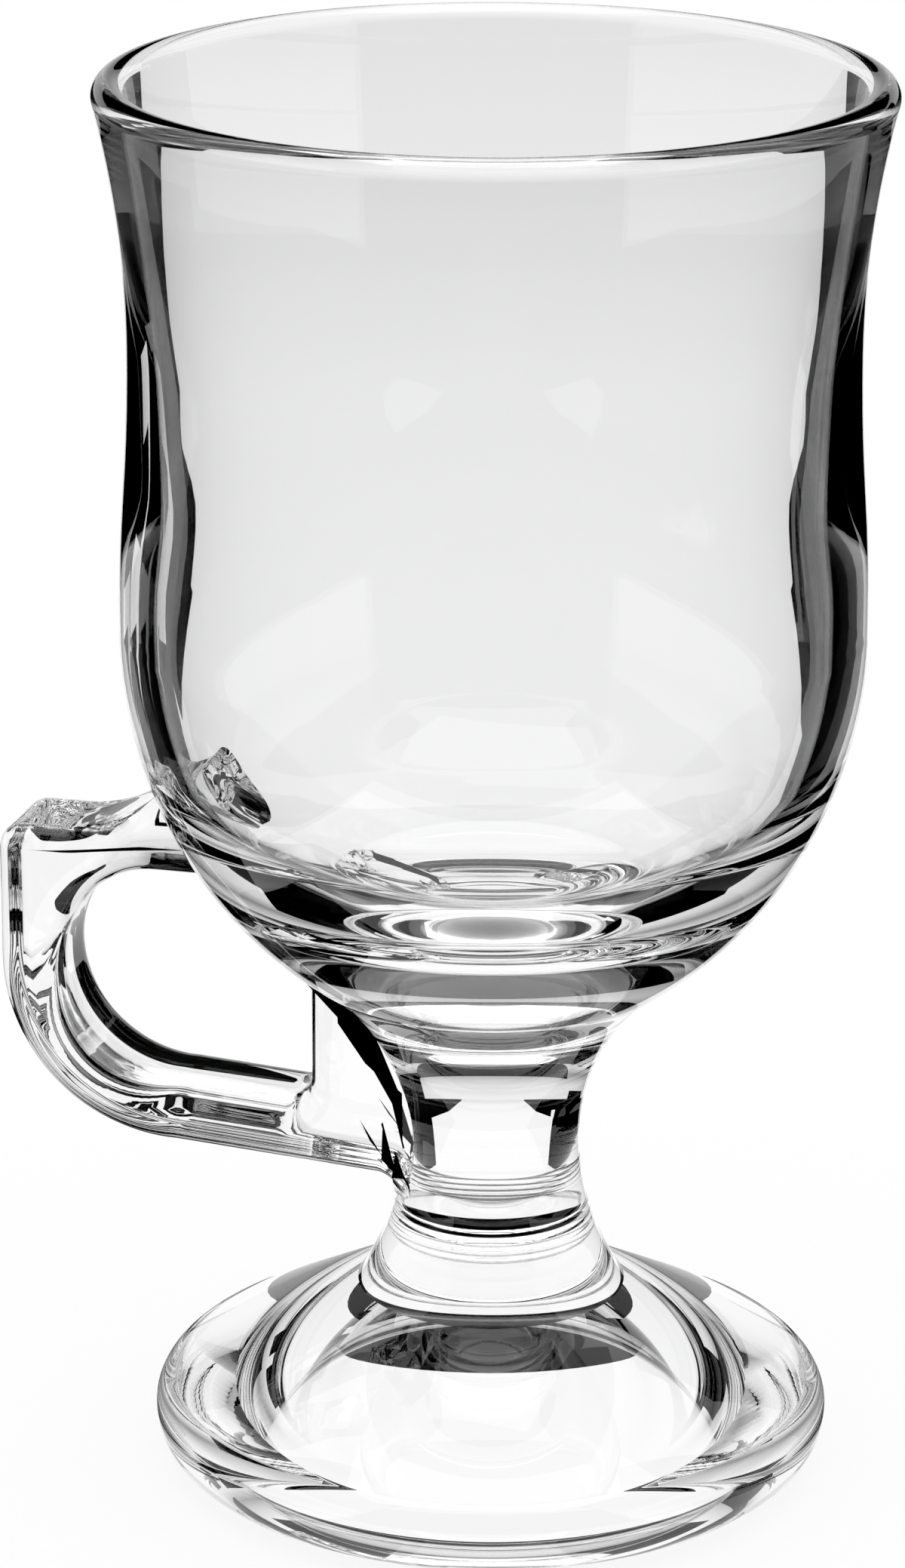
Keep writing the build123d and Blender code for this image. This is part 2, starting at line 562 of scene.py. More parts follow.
@dataclass
class Foot(TurnedPiece):
    """Cone-topped round foot with a rounded edge, a resting ring and a domed hollow under it."""

    height: float = 18.0 * MM
    radius: float = 33.75 * MM
    edge_height: float = 4.9 * MM
    edge_radius: float = 3.6 * MM
    rest_ring_width: float = 6.0 * MM
    hollow_depth: float = 11.5 * MM
    stem_radius: float = 13.35 * MM

    piece = Piece.FOOT

    def wall(self) -> list[Stretch]:
        """Draws the rounded edge and the cone.

        Returns:
            The stretches, from the resting ring up.
        """
        edge_x = self.radius - self.edge_radius
        run, drop = edge_x - self.stem_radius, self.height - self.edge_height
        length = math.hypot(run, drop)
        slope = math.asin(drop / length) - math.asin(self.edge_radius / length)
        widest = (self.radius, self.edge_height)
        cone_end = (
            edge_x + self.edge_radius * math.sin(slope),
            self.edge_height + self.edge_radius * math.cos(slope),
        )
        return [
            Stretch((self.radius - self.edge_height, 0.0), widest, OUT),
            Stretch(widest, cone_end, UP),
            Stretch(cone_end, (self.stem_radius, self.height)),
        ]

    def outline(self) -> list[Stretch]:
        """Draws the half section.

        Returns:
            The hollow, the resting ring, the edge, the cone and the joint under the stem.
        """
        wall = self.wall()
        ring_outer = wall[0].start
        ring_inner = (ring_outer[0] - self.rest_ring_width, 0.0)
        return [
            Stretch((0.0, self.hollow_depth), ring_inner, OUT),
            Stretch(ring_inner, ring_outer),
            *wall,
            Stretch(wall[-1].end, (0.0, self.height)),
        ]

    def joints(self) -> list[float]:
        """The joint under the stem."""
        return [self.height]


@dataclass
class Stem(TurnedPiece):
    """Short waisted spool between the foot and the bowl."""

    bottom: float = 18.0 * MM
    top: float = 51.0 * MM
    neck_height: float = 33.5 * MM
    neck_radius: float = 8.75 * MM
    foot_radius: float = 13.35 * MM
    bowl_radius: float = 18.25 * MM
    rings: int = 4
    rings_bottom: float = 24.0 * MM
    rings_top: float = 26.8 * MM
    ring_swell: float = math.radians(9.0)

    piece = Piece.STEM

    # Places at which a curve is read to find a height on it
    CURVE_PLACES = 400

    def wall(self) -> list[Stretch]:
        """Draws the outer wall.

        Returns:
            Two hollow curves that meet, upright, at the neck.
        """
        neck = (self.neck_radius, self.neck_height)
        return [
            Stretch.arriving((self.foot_radius, self.bottom), neck, UP),
            Stretch(neck, (self.bowl_radius, self.top), UP),
        ]

    def ringed(self, curve: Stretch) -> list[Stretch]:
        """Rolls the mould's fine rings into the lower curve.

        Args:
            curve: The smooth curve, from the foot up.

        Returns:
            The curve in parts, with a row of slight beads in the middle.
        """
        shares = np.linspace(0.0, 1.0, self.CURVE_PLACES)
        heights = curve.sample(shares)[0][:, 1]
        first, last = np.interp([self.rings_bottom, self.rings_top], heights, shares)
        marks, _ = curve.sample(np.linspace(first, last, self.rings + 1))
        beads = []
        for start, end in zip(marks, marks[1:]):
            along = (end - start) / np.linalg.norm(end - start)
            outward = np.array([along[1], -along[0]])
            heading = math.cos(self.ring_swell) * along + math.sin(self.ring_swell) * outward
            beads.append(Stretch(tuple(start), tuple(end), tuple(heading)))
        return [curve.part(0.0, first), *beads, curve.part(last, 1.0)]

    def outline(self) -> list[Stretch]:
        """Draws the half section.

        Returns:
            The joint on the foot, the ringed wall and the joint under the bowl.
        """
        lower, upper = self.wall()
        return [
            Stretch((0.0, self.bottom), lower.start),
            *self.ringed(lower),
            upper,
            Stretch(upper.end, (0.0, self.top)),
        ]

    def joints(self) -> list[float]:
        """The joints on the foot and under the bowl."""
        return [self.bottom, self.top]


@dataclass
class Bowl(TurnedPiece):
    """Flared bowl with a round lip, a belly and a heavy base under its hollow."""

    bottom: float = 51.0 * MM
    rim: float = 140.0 * MM
    stem_radius: float = 18.25 * MM
    belly_height: float = 86.0 * MM
    belly_radius: float = 36.15 * MM
    waist_height: float = 114.5 * MM
    waist_radius: float = 35.05 * MM
    rim_radius: float = 38.0 * MM
    lip_radius: float = 1.6 * MM
    floor: float = 61.0 * MM
    wall_thickness: float = 3.35 * MM
    hollow_waist_height: float = 102.0 * MM
    hollow_swell: float = 0.35 * MM
    corner_radius: float = 19.5 * MM

    piece = Piece.BOWL

    @property
    def lip_centre(self) -> Point2:
        """Centre of the round lip."""
        return (self.rim_radius - self.lip_radius, self.rim - self.lip_radius)

    def wall(self) -> list[Stretch]:
        """Draws the outer wall.

        Returns:
            The lower bowl, the belly, the waist and the flare up to the lip.
        """
        x, z = self.lip_centre
        rise, inset = z - self.waist_height, x - self.waist_radius
        flare = (inset**2 + rise**2 - self.lip_radius**2) / (2.0 * (self.lip_radius + inset))
        reach = flare + self.lip_radius
        lip_outer = (
            x + self.lip_radius * (flare - inset) / reach,
            z - self.lip_radius * rise / reach,
        )
        belly = (self.belly_radius, self.belly_height)
        waist = (self.waist_radius, self.waist_height)
        ogee = ((belly[0] + waist[0]) / 2.0, (belly[1] + waist[1]) / 2.0)
        return [
            Stretch.arriving((self.stem_radius, self.bottom), belly, UP),
            Stretch(belly, ogee, UP),
            Stretch.arriving(ogee, waist, UP),
            Stretch(waist, lip_outer, UP),
        ]

    def hollow(self) -> list[Stretch]:
        """Draws the inside, from the rim down.

        Returns:
            The lip's inner half, the flare, waist and belly, the lower curve, the corner and the floor.
        """
        x, z = self.lip_centre
        belly = (self.belly_radius - self.wall_thickness, self.belly_height)
        waist = (belly[0] - self.hollow_swell, self.hollow_waist_height)
        ogee = ((belly[0] + waist[0]) / 2.0, (belly[1] + waist[1]) / 2.0)
        rise, inset = z - waist[1], x - waist[0]
        flare = (inset**2 + rise**2 - self.lip_radius**2) / (2.0 * (inset - self.lip_radius))
        reach = flare - self.lip_radius
        lip_inner = (
            x - self.lip_radius * (flare - inset) / reach,
            z + self.lip_radius * rise / reach,
        )
        run, drop = self.belly_radius - self.stem_radius, self.belly_height - self.bottom
        lower_radius = (run**2 + drop**2) / (2.0 * run)
        corner_z = self.floor + self.corner_radius
        corner_reach = lower_radius - self.wall_thickness - self.corner_radius
        corner_drop = self.belly_height - corner_z
        corner_run = math.sqrt(corner_reach**2 - corner_drop**2)
        corner_x = self.belly_radius - lower_radius + corner_run
        corner_start = (
            corner_x + self.corner_radius * corner_run / corner_reach,
            corner_z - self.corner_radius * corner_drop / corner_reach,
        )
        return [
            Stretch((x, self.rim), lip_inner, IN),
            Stretch.arriving(lip_inner, waist, DOWN),
            Stretch(waist, ogee, DOWN),
            Stretch.arriving(ogee, belly, DOWN),
            Stretch(belly, corner_start, DOWN),
            Stretch.arriving(corner_start, (corner_x, self.floor), IN),
            Stretch((corner_x, self.floor), (0.0, self.floor)),
        ]

    def outline(self) -> list[Stretch]:
        """Draws the half section.

        Returns:
            The joint on the stem, the wall, the lip and the hollow.
        """
        wall = self.wall()
        return [
            Stretch((0.0, self.bottom), wall[0].start),
            *wall,
            Stretch.arriving(wall[-1].end, (self.lip_centre[0], self.rim), IN),
            *self.hollow(),
        ]

    def joints(self) -> list[float]:
        """The joint on the stem."""
        return [self.bottom]


# Handle


@dataclass(frozen=True)
class SectionRow:
    """One row of the strap's section.

    Attributes:
        share: Its share of the way from the outer face to the loop's face.
        depth: Its depth under the nearer guide.
        half_width: Its distance from the strap's middle plane at the edge.
    """

    share: float
    depth: float
    half_width: float


@dataclass
class Handle:
    """Solid strap from the bowl out to a thumb rest, round a finger loop and back to the stem.

    Attributes:
        finish: Its glass.
        bowl: Bowl that its upper end is fused to.
        stem: Stem that its web and lower arm are fused to.
        loop_cuts: Shares at which the loop's top is cut, to pair it with the outer line's stretches.
        outer_edge_share: Rounding of the outer edges, as a share of the thickness.
        inner_edge_share: Rounding of the edges round the finger loop, as a share of the thickness.
        core_radius: How near to the axis the strap's guides run on inside the stem.
        stations: Sections along each free stretch. Each end has twice as many.
        edge_rows: Rows round each edge.
        side_rows: Rows along each side.
        columns: Faces across the outer face and the loop's face.
        trim_places: Places on each stretch at which the strap's end is looked for.
        seat_places: Places on each guide that the seats are measured from.
    """

    finish: ClearGlass
    bowl: Bowl
    stem: Stem
    width: float = 11.8 * MM
    projection: float = 13.35 * MM
    thickness: float = 6.2 * MM
    thumb_rest_rise: float = 12.2 * MM
    thumb_rest_length: float = 6.5 * MM
    thumb_scoop_run: float = 12.0 * MM
    thumb_scoop_rise: float = 6.8 * MM
    thumb_corner_radius: float = 2.6 * MM
    bar_underside_rise: float = 8.2 * MM
    loop_top_run: float = 9.4 * MM
    loop_turn_radius: float = 11.8 * MM
    arm_rise: float = 13.2 * MM
    arm_fall: float = 1.4 * MM
    web_reach: float = 8.9 * MM
    web_corner_radius: float = 2.4 * MM
    root_fillet: float = 2.0 * MM
    loop_cuts: tuple[float, ...] = (0.0, 0.3, 0.65, 1.0)
    outer_edge_share: float = 0.34
    inner_edge_share: float = 0.52
    core_radius: float = 3.0 * MM
    stations: int = 34
    edge_rows: int = 9
    side_rows: int = 4
    columns: int = 8
    trim_places: int = 200
    seat_places: int = 1200

    piece = Piece.HANDLE

    # Numbers of the guides' stretches between which the strap is clear of the bowl and the stem
    FREE_START, FREE_END = 1, 5

    @property
    def outer_edge(self) -> float:
        """Rounding of the outer edges."""
        return self.outer_edge_share * self.thickness

    @property
    def inner_edge(self) -> float:
        """Rounding of the edges round the finger loop."""
        return self.inner_edge_share * self.thickness

    def guides(self) -> tuple[list[Stretch], list[Stretch]]:
        """Lays out the strap's outer line and the loop's line, from the bowl round to the stem.

        Returns:
            Two rows of as many stretches, which run on into the bowl and the stem at their ends.
        """
        reach = self.bowl.belly_radius + self.projection
        loop_reach = reach - self.thickness
        rest_z = self.bowl.bottom + self.thumb_rest_rise
        bar_z = self.bowl.bottom + self.bar_underside_rise
        arm_z = self.stem.bottom + self.arm_rise
        floor_z = arm_z + self.thickness
        turn_x = loop_reach - self.loop_turn_radius
        turn_z = floor_z + self.loop_turn_radius
        scoop_x = reach - self.thumb_rest_length
        corner = self.thumb_corner_radius
        root_x = self.stem.neck_radius + self.root_fillet
        root_z = arm_z - self.arm_fall
        web_x = self.stem.neck_radius + self.web_reach
        web_floor_x = web_x + self.web_corner_radius
        web_floor_z = floor_z - self.arm_fall / (turn_x - root_x) * (turn_x - web_floor_x)
        core_top = self.bowl.bottom + self.root_fillet

        scoop_top = (scoop_x - self.thumb_scoop_run, rest_z + self.thumb_scoop_rise)
        root_end = (self.stem.neck_radius, root_z - self.root_fillet)
        core = (self.core_radius, root_end[1])
        outer = [
            Stretch.arriving(scoop_top, (scoop_x, rest_z), OUT),
            Stretch((scoop_x, rest_z), (reach - corner, rest_z)),
            Stretch((reach - corner, rest_z), (reach, rest_z - corner), OUT),
            Stretch((reach, rest_z - corner), (reach, turn_z)),
            Stretch((reach, turn_z), (turn_x, arm_z), DOWN),
            Stretch((turn_x, arm_z), (root_x, root_z)),
            Stretch((root_x, root_z), root_end, IN),
            Stretch(root_end, core),
            Stretch(core, (self.core_radius / 2.0, core[1])),
        ]
        bar_end = (loop_reach - self.loop_top_run, bar_z)
        loop_top = Stretch.arriving(bar_end, (loop_reach, turn_z), DOWN)
        web_foot = (web_x, web_floor_z + self.web_corner_radius)
        inner = [
            Stretch((self.stem.bowl_radius, bar_z), bar_end),
            *(loop_top.part(*ends) for ends in zip(self.loop_cuts, self.loop_cuts[1:])),
            Stretch((loop_reach, turn_z), (turn_x, floor_z), DOWN),
            Stretch((turn_x, floor_z), (web_floor_x, web_floor_z)),
            Stretch.arriving((web_floor_x, web_floor_z), web_foot, UP),
            Stretch(web_foot, (web_x, core_top)),
            Stretch((web_x, core_top), (self.core_radius, core_top)),
        ]
        return outer, inner

    @staticmethod
    def trace(guide: list[Stretch], turns: np.ndarray, into_glass: float) -> tuple[np.ndarray, np.ndarray]:
        """Finds points on a guide and the directions from there into the glass.

        Args:
            guide: Stretches that follow each other.
            turns: Places on it: the stretch's number plus the share of it.
            into_glass: 1 where the glass is to the left of the guide, -1 where it is to the right.

        Returns:
            The points and the unit directions, one row each.
        """
        numbers = np.clip(turns.astype(int), 0, len(guide) - 1)
        points, normals = np.zeros((len(turns), 2)), np.zeros((len(turns), 2))
        for number, stretch in enumerate(guide):
            here = numbers == number
            if here.any():
                points[here], along = stretch.sample(turns[here] - number)
                normals[here] = into_glass * np.stack([-along[:, 1], along[:, 0]], 1)
        return points, normals

    def rows(self) -> list[SectionRow]:
        """Lists the rows of one section.

        Returns:
            The rows, from the outer face to the loop's face.
        """
        half = self.width / 2.0
        angles = np.linspace(0.0, math.pi / 2.0, self.edge_rows)

        def edge_row(share: float, edge: float, angle: float) -> SectionRow:
            """Row at one angle round an edge."""
            return SectionRow(share, edge * (1.0 - math.cos(angle)), half - edge * (1.0 - math.sin(angle)))

        side_shares = np.linspace(0.0, 1.0, self.side_rows + 2)[1:-1]
        return [
            *(edge_row(0.0, self.outer_edge, angle) for angle in angles),
            *(SectionRow(share, 0.0, half) for share in side_shares),
            *(edge_row(1.0, self.inner_edge, angle) for angle in angles[::-1]),
        ]

    def row_line(self, row: SectionRow, turns: np.ndarray) -> np.ndarray:
        """Follows one row of the sections along the strap.

        Args:
            row: The row of the sections.
            turns: Places along the guides.

        Returns:
            Points in the handle's middle plane, as distances from the axis and heights.
        """
        outer, inner = self.guides()
        outer_points, outer_normals = self.trace(outer, turns, -1.0)
        inner_points, inner_normals = self.trace(inner, turns, 1.0)
        if row.share == 0.0:
            return outer_points + row.depth * outer_normals
        if row.share == 1.0:
            return inner_points + row.depth * inner_normals
        start = outer_points + self.outer_edge * outer_normals
        end = inner_points + self.inner_edge * inner_normals
        return start + row.share * (end - start)

    def body_radius(self, heights: np.ndarray) -> np.ndarray:
        """Radius of the stem and the bowl, as one wall, at some heights."""
        return np.where(heights < self.stem.top, self.stem.radius_at(heights), self.bowl.radius_at(heights))

    def section_turns(self, row: SectionRow, y: float) -> np.ndarray:
        """Places the stations of one line along the strap, trimmed to the bowl and the stem.

        Args:
            row: The row of the sections.
            y: The line's place across the strap.

        Returns:
            Places along the guides, the first on the bowl's wall and the last on the stem's.
        """
        last = len(self.guides()[0])
        fine = np.linspace(0.0, last, self.trim_places * last)
        line = self.row_line(row, fine)
        clear = np.hypot(line[:, 0], y) - self.body_radius(line[:, 1])
        outside = np.flatnonzero(clear > 0.0)

        def crossing(a: int, b: int) -> float:
            """Place between two samples where the line meets the wall."""
            return fine[a] + (fine[b] - fine[a]) * clear[a] / (clear[a] - clear[b])

        first = crossing(outside[0] - 1, outside[0])
        end = crossing(outside[-1], outside[-1] + 1)
        free = range(self.FREE_START, self.FREE_END)
        return np.concatenate(
            [
                np.linspace(first, self.FREE_START, 2 * self.stations + 1)[:-1],
                *(np.linspace(number, number + 1, self.stations + 1)[:-1] for number in free),
                np.linspace(self.FREE_END, end, 2 * self.stations + 1),
            ]
        )

    def build(self) -> bpy.types.Object:
        """Makes the strap's skin and the two ends that seat on the bowl and the stem.

        Returns:
            The object, with its fused ends on the second material.
        """
        rows = self.rows()
        shares = np.linspace(-1.0, 1.0, self.columns + 1)
        section = [
            *((rows[0], share * rows[0].half_width) for share in shares),
            *((row, row.half_width) for row in rows[1:-1]),
            *((rows[-1], share * rows[-1].half_width) for share in shares[::-1]),
            *((row, -row.half_width) for row in rows[-2:0:-1]),
        ]
        lines = []
        for row, y in section:
            flat = self.row_line(row, self.section_turns(row, y))
            lines.append(np.stack([-flat[:, 0], np.full(len(flat), y), flat[:, 1]], 1))
        skin = np.stack(lines, 1)
        count, around = skin.shape[:2]
        vertices = [tuple(point) for point in skin.reshape(-1, 3)]
        faces = [
            (
                s * around + k,
                (s + 1) * around + k,
                (s + 1) * around + (k + 1) % around,
                s * around + (k + 1) % around,
            )
            for s in range(count - 1)
            for k in range(around)
        ]
        glass_faces = len(faces)
        for station in (0, count - 1):
            faces += self.seat(vertices, station * around, around, len(rows))
        mesh = bpy.data.meshes.new(self.piece.skin)
        mesh.from_pydata(vertices, [], faces)
        mesh.materials.append(self.finish.material(self.piece.slot))
        mesh.materials.append(FusedJoint().material())
        for number, face in enumerate(mesh.polygons):
            face.use_smooth = True
            face.material_index = int(number >= glass_faces)
        work = bmesh.new()
        work.from_mesh(mesh)
        bmesh.ops.recalc_face_normals(work, faces=work.faces)
        work.to_mesh(mesh)
        work.free()
        return put(self.piece.skin, mesh)

    def seat(self, vertices: list[Point3], first: int, around: int, rows: int) -> list[tuple[int, ...]]:
        """Closes one end of the strap with a patch that lies on the wall it is fused to.

        Args:
            vertices: The skin's vertices, which the patch's own are added to.
            first: Number of the end section's first vertex.
            around: Vertices in a section.
            rows: Rows in a section.

        Returns:
            The patch's faces.
        """
        columns = self.columns
        table: list[list[int]] = [[first + column for column in range(columns + 1)]]
        for row in range(1, rows - 1):
            right = first + columns + row
            left = first + around - row
            a, b = np.array(vertices[left]), np.array(vertices[right])
            inside = []
            for column in range(1, columns):
                x, y, z = a + (b - a) * column / columns
                wall = float(self.body_radius(np.array([z]))[0])
                inside.append(len(vertices))
                vertices.append((-math.sqrt(max(wall**2 - y**2, 0.0)), y, z))
            table.append([left, *inside, right])
        start = first + columns + rows - 1
        table.append([start + columns - column for column in range(columns + 1)])
        return [
            (table[r][c], table[r][c + 1], table[r + 1][c + 1], table[r + 1][c])
            for r in range(rows - 1)
            for c in range(columns)
        ]

    def seat_depth(self, points: np.ndarray) -> np.ndarray:
        """Measures how far points lie outside the strap, as it runs on into the bowl and the stem.

        Args:
            points: Points in the frame, one row each.

        Returns:
            The distances, negative inside the strap.
        """
        flat = np.stack([-points[:, 0], points[:, 2]], 1)
        depth = np.full(len(points), -np.inf)
        outer, inner = self.guides()
        for guide, side, edge in ((outer, -1.0, self.outer_edge), (inner, 1.0, self.inner_edge)):
            line, normals = self.trace(guide, np.linspace(0.0, len(guide), self.seat_places), side)
            nearest = ((flat[:, None, :] - line[None, :, :]) ** 2).sum(2).argmin(1)
            under = ((flat - line[nearest]) * normals[nearest]).sum(1)
            past = np.stack([edge - under, np.abs(points[:, 1]) - self.width / 2.0 + edge], 1)
            rounded = np.hypot(*np.maximum(past, 0.0).T) + np.minimum(past.max(1), 0.0) - edge
            depth = np.maximum(depth, rounded)
        return depth

    def mark_seat(self, mesh: bpy.types.Mesh) -> None:
        """Cuts the strap's seat into a turned piece's faces and marks it as a fused joint.

        Args:
            mesh: The turned piece's mesh.
        """
        work = bmesh.new()
        work.from_mesh(mesh)
        work.verts.ensure_lookup_table()
        places = np.array([vertex.co for vertex in work.verts])
        x, y, z = places.T
        near = (x < 0.0) & (np.abs(y) < self.width) & (z < self.bowl.belly_height)
        depth = np.full(len(places), self.width)
        depth[near] = self.seat_depth(places[near])
        layer = work.verts.layers.float.new("seat depth")
        for vertex, value in zip(work.verts, depth):
            vertex[layer] = value
        cuts = []
        for edge in list(work.edges):
            a, b = edge.verts
            if a[layer] * b[layer] < 0.0:
                share = a[layer] / (a[layer] - b[layer])
                _, cut = bmesh.utils.edge_split(edge, a, share)
                cut[layer] = 0.0
                cuts.append(cut)
        bmesh.ops.connect_verts(work, verts=cuts)
        for face in work.faces:
            depths = [vertex[layer] for vertex in face.verts]
            outward = face.normal.dot(face.calc_center_median() * Vector((1.0, 1.0, 0.0))) > 0.0
            if outward and min(depths) < 0.0 and max(depths) <= 0.0:
                face.material_index = 1
        work.verts.layers.float.remove(layer)
        work.to_mesh(mesh)
        work.free()

    def dress(self, obj: bpy.types.Object) -> None:
        """Hands the finished handle over."""
        settle(obj, self.piece)


# Studio


def linear(level: float) -> float:
    """Turns a level as the picture shows it into the light that gives it, by the sRGB curve."""
    return level / 12.92 if level <= 0.04045 else ((level + 0.055) / 1.055) ** 2.4


def grey_ramp(
    tree: bpy.types.NodeTree, stops: tuple[Point2, ...]
) -> tuple[bpy.types.NodeSocket, bpy.types.NodeSocket]:
    """Adds a ramp of greys.

    Args:
        tree: Node tree to add to.
        stops: Places and shown levels, in rising order. The ramp ends at the last place.

    Returns:
        The socket that takes a place and the socket that gives its grey.
    """
    reach = stops[-1][0]
    ramp = tree.nodes.new("ShaderNodeValToRGB")
    elements = ramp.color_ramp.elements
    # A new stop starts halfway, and is moved to its place below
    while len(elements) < len(stops):
        elements.new(0.5)
    for element, (place, level) in zip(elements, stops):
        element.position = place / reach
        element.color = (*[linear(level)] * 3, 1.0)
    scale = tree.nodes.new("ShaderNodeMapRange")
    scale.inputs["From Max"].default_value = reach
    tree.links.new(scale.outputs["Result"], ramp.inputs["Fac"])
    return scale.inputs["Value"], ramp.outputs["Color"]


@dataclass(frozen=True)
class Card:
    """One black card of the bright-field set, in the frame that faces the camera.

    Attributes:
        name: Its name.
        corners: Its corners in order: right of the mug, away from the camera, and up.
    """

    name: str
    corners: tuple[Point3, ...]

    # A lying card is between the table's face and the foot's resting ring
    DROP = 0.1 * MM

    # Corners of an oval card
    OVAL_CORNERS = 48

    @classmethod
    def upright(cls, name: str, start: Point2, end: Point2, top: float, bottom: float = 0.0) -> "Card":
        """Makes a card that stands along a line."""
        return cls(name, ((*start, bottom), (*end, bottom), (*end, top), (*start, top)))

    @classmethod
    def lying(cls, name: str, *outline: Point2) -> "Card":
        """Makes a card that lies on the table."""
        return cls(name, tuple((x, y, -cls.DROP) for x, y in outline))

    @classmethod
    def oval(cls, name: str, centre: Point2, half_width: float, half_depth: float) -> "Card":
        """Makes an oval card that lies on the table.

        Args:
            name: Its name.
            centre: Its middle.
            half_width: Half its size to the right.
            half_depth: Half its size away from the camera.

        Returns:
            The card.
        """
        x, y = centre
        turns = np.linspace(0.0, 2.0 * math.pi, cls.OVAL_CORNERS, endpoint=False)
        outline = [(x + half_width * math.cos(a), y + half_depth * math.sin(a)) for a in turns]
        return cls.lying(name, *outline)


@dataclass
class Studio:
    """Bright-field set for clear glass: a white table, a pale room, a soft lamp and black cards.

    Attributes:
        sky: Elevations in degrees and the levels that the glass sees there.
        table: Distances from the mug and the levels that the glass sees there: a painted pool of light,
            brightest round the mug and dimmer further out.
        cards: The black cards. The left table card has a gap, which draws the bright line in the left wall.
        shade_share: Part of the table's look that takes the mug's shadow.
        table_half: Half the table's side.
        table_drop: How far the table's face is under the foot, which keeps the two apart.
        lamp_height: Height of the lamp over the table.
        lamp_size: Side of the square lamp.
        lamp_power: Power of the lamp, in watts.
        bounces: Times that a ray may pass or meet a surface.
    """

    sky: tuple[Point2, ...] = (
        (0, 0.93), (8, 0.9), (14, 0.75), (18, 0.6), (24, 0.8), (35, 0.97), (90, 1.0),
    )
    # Painted pool of light: the table's glow falls from 1.0 near the mug to 0.905 two metres out
    table: tuple[Point2, ...] = (
        (0.0, 1.0), (0.26, 1.0), (0.33, 0.99), (0.42, 0.971), (0.6, 0.947), (1.0, 0.926), (2.0, 0.905),
    )
    cards: tuple[Card, ...] = (
        Card.upright("front card", (-0.9, -0.9), (0.9, -0.9), 1.4),
        Card.upright("back card", (-1.4, 2.0), (1.4, 2.0), 2.0, 0.62),
        Card.lying(
            "front table card",
            (-2.0, -0.9), (2.0, -0.9), (2.0, -0.036), (0.1, -0.036),
            (0.1, -0.13), (-0.1, -0.13), (-0.1, -0.036), (-2.0, -0.036),
        ),
        Card.lying(
            "right table card",
            (0.036, -0.036), (2.0, -0.036), (2.0, 4.0), (0.9, 4.0), (0.37, 1.6),
            (0.104, 0.3), (0.097, 0.168), (0.024, 0.046), (0.024, 0.036), (0.036, 0.012),
        ),
        Card.lying(
            "left table card",
            (-0.1, -0.036), (-2.0, -0.036), (-2.0, 4.0), (-0.9, 4.0), (-0.37, 1.6),
            (-0.104, 0.3), (-0.1, 0.186), (-0.157, 0.29), (-0.22, 0.29), (-0.13, 0.168),
            (-0.097, 0.168), (-0.024, 0.046), (-0.024, 0.036), (-0.036, 0.012), (-0.1, 0.012),
        ),
        Card.lying(
            "left handle card",
            (-0.075, -0.032), (-0.036, -0.032), (-0.036, 0.012), (-0.075, 0.012),
        ),
        Card.upright("left top card", (-0.74, 0.67), (-0.9, -0.9), 2.2, 0.6),
        Card.upright("right top card", (0.74, 0.67), (0.9, -0.9), 2.2, 0.6),
        Card.upright("left low card", (-0.097, 0.166), (-0.13, 0.166), 0.03),
        Card.upright("left back card", (-0.5, 0.29), (-0.33, 0.4), 0.08),
        Card.upright("right back card", (0.27, 0.42), (0.5, 0.29), 0.21),
        # Painted shadow: a black oval under the foot, standing in for the shade under the stem
        Card.oval("card under the foot", (0.0, 0.0185), 0.02, 0.0135),
    )
    shade_share: float = 0.12
    table_half: float = 6.0
    table_drop: float = 0.2 * MM
    lamp_height: float = 1.6
    lamp_size: float = 1.4
    lamp_power: float = 6.0
    bounces: int = 32

    def build(self, camera: bpy.types.Object) -> None:
        """Sets up the light, the table and the cards.

        Args:
            camera: Camera that the cards face.
        """
        scene = bpy.context.scene
        scene.view_settings.view_transform = "Standard"
        scene.cycles.max_bounces = self.bounces
        scene.cycles.transmission_bounces = self.bounces
        scene.cycles.transparent_max_bounces = self.bounces
        scene.cycles.glossy_bounces = self.bounces // 2
        self.light_sky()
        self.lay_table()
        self.hang_lamp()
        self.stand_cards(camera)

    def light_sky(self) -> None:
        """Makes the room: white to the camera, and graded by elevation to the glass."""
        world = bpy.data.worlds.new("studio")
        bpy.context.scene.world = world
        world.use_nodes = True
        tree = world.node_tree
        background = tree.nodes["Background"]
        place = tree.nodes.new("ShaderNodeTexCoord")
        height = tree.nodes.new("ShaderNodeSeparateXYZ")
        elevation = tree.nodes.new("ShaderNodeMath")
        elevation.operation = "ARCSINE"
        degrees = tree.nodes.new("ShaderNodeMath")
        degrees.operation = "DEGREES"
        reading, grey = grey_ramp(tree, self.sky)
        shown = self.camera_white(tree)
        link = tree.links.new
        link(place.outputs["Generated"], height.inputs["Vector"])
        link(height.outputs["Z"], elevation.inputs[0])
        link(elevation.outputs["Value"], degrees.inputs[0])
        link(degrees.outputs["Value"], reading)
        link(grey, shown.inputs["A"])
        link(shown.outputs["Result"], background.inputs["Color"])

    @staticmethod
    def camera_white(tree: bpy.types.NodeTree) -> bpy.types.Node:
        """Adds a colour mix that is white to the camera.

        Args:
            tree: Node tree to add to.

        Returns:
            The mix node, whose first colour is what other rays see.
        """
        rays = tree.nodes.new("ShaderNodeLightPath")
        mix = tree.nodes.new("ShaderNodeMix")
        mix.data_type = "RGBA"
        mix.inputs["B"].default_value = WHITE
        tree.links.new(rays.outputs["Is Camera Ray"], mix.inputs["Factor"])
        return mix

